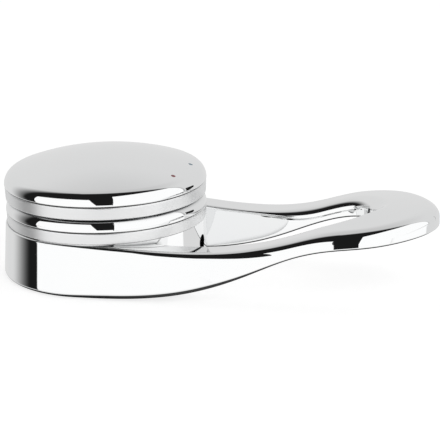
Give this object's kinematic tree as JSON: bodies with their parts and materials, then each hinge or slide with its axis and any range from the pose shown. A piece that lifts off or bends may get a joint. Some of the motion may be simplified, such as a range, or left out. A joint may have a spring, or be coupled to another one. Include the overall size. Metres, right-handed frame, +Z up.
{
  "type": "tap handle",
  "caption": "Chrome loop-lever handle for a single-lever mixer tap: skirted round hub, stepped domed cap and an open lever that rises to a rounded paddle tip.",
  "frame": {"origin": "centre of the skirt's rim, on the axis of the hub and its register bore", "axes": "+Z up along the hub's axis, +X along the lever from the hub to the paddle tip"},
  "size_m": [0.114, 0.0542, 0.031],
  "materials": {
    "chrome_lever": "polished",
    "chrome_cap": "polished",
    "screw_steel": "bright",
    "red_enamel": "gloss",
    "blue_enamel": "gloss"
  },
  "bodies": {
    "root": {"lever_body": "chrome_lever", "cap": "chrome_cap", "grub_screw": "screw_steel", "hot_mark": "red_enamel", "cold_mark": "blue_enamel"}
  },
  "joints": []
}
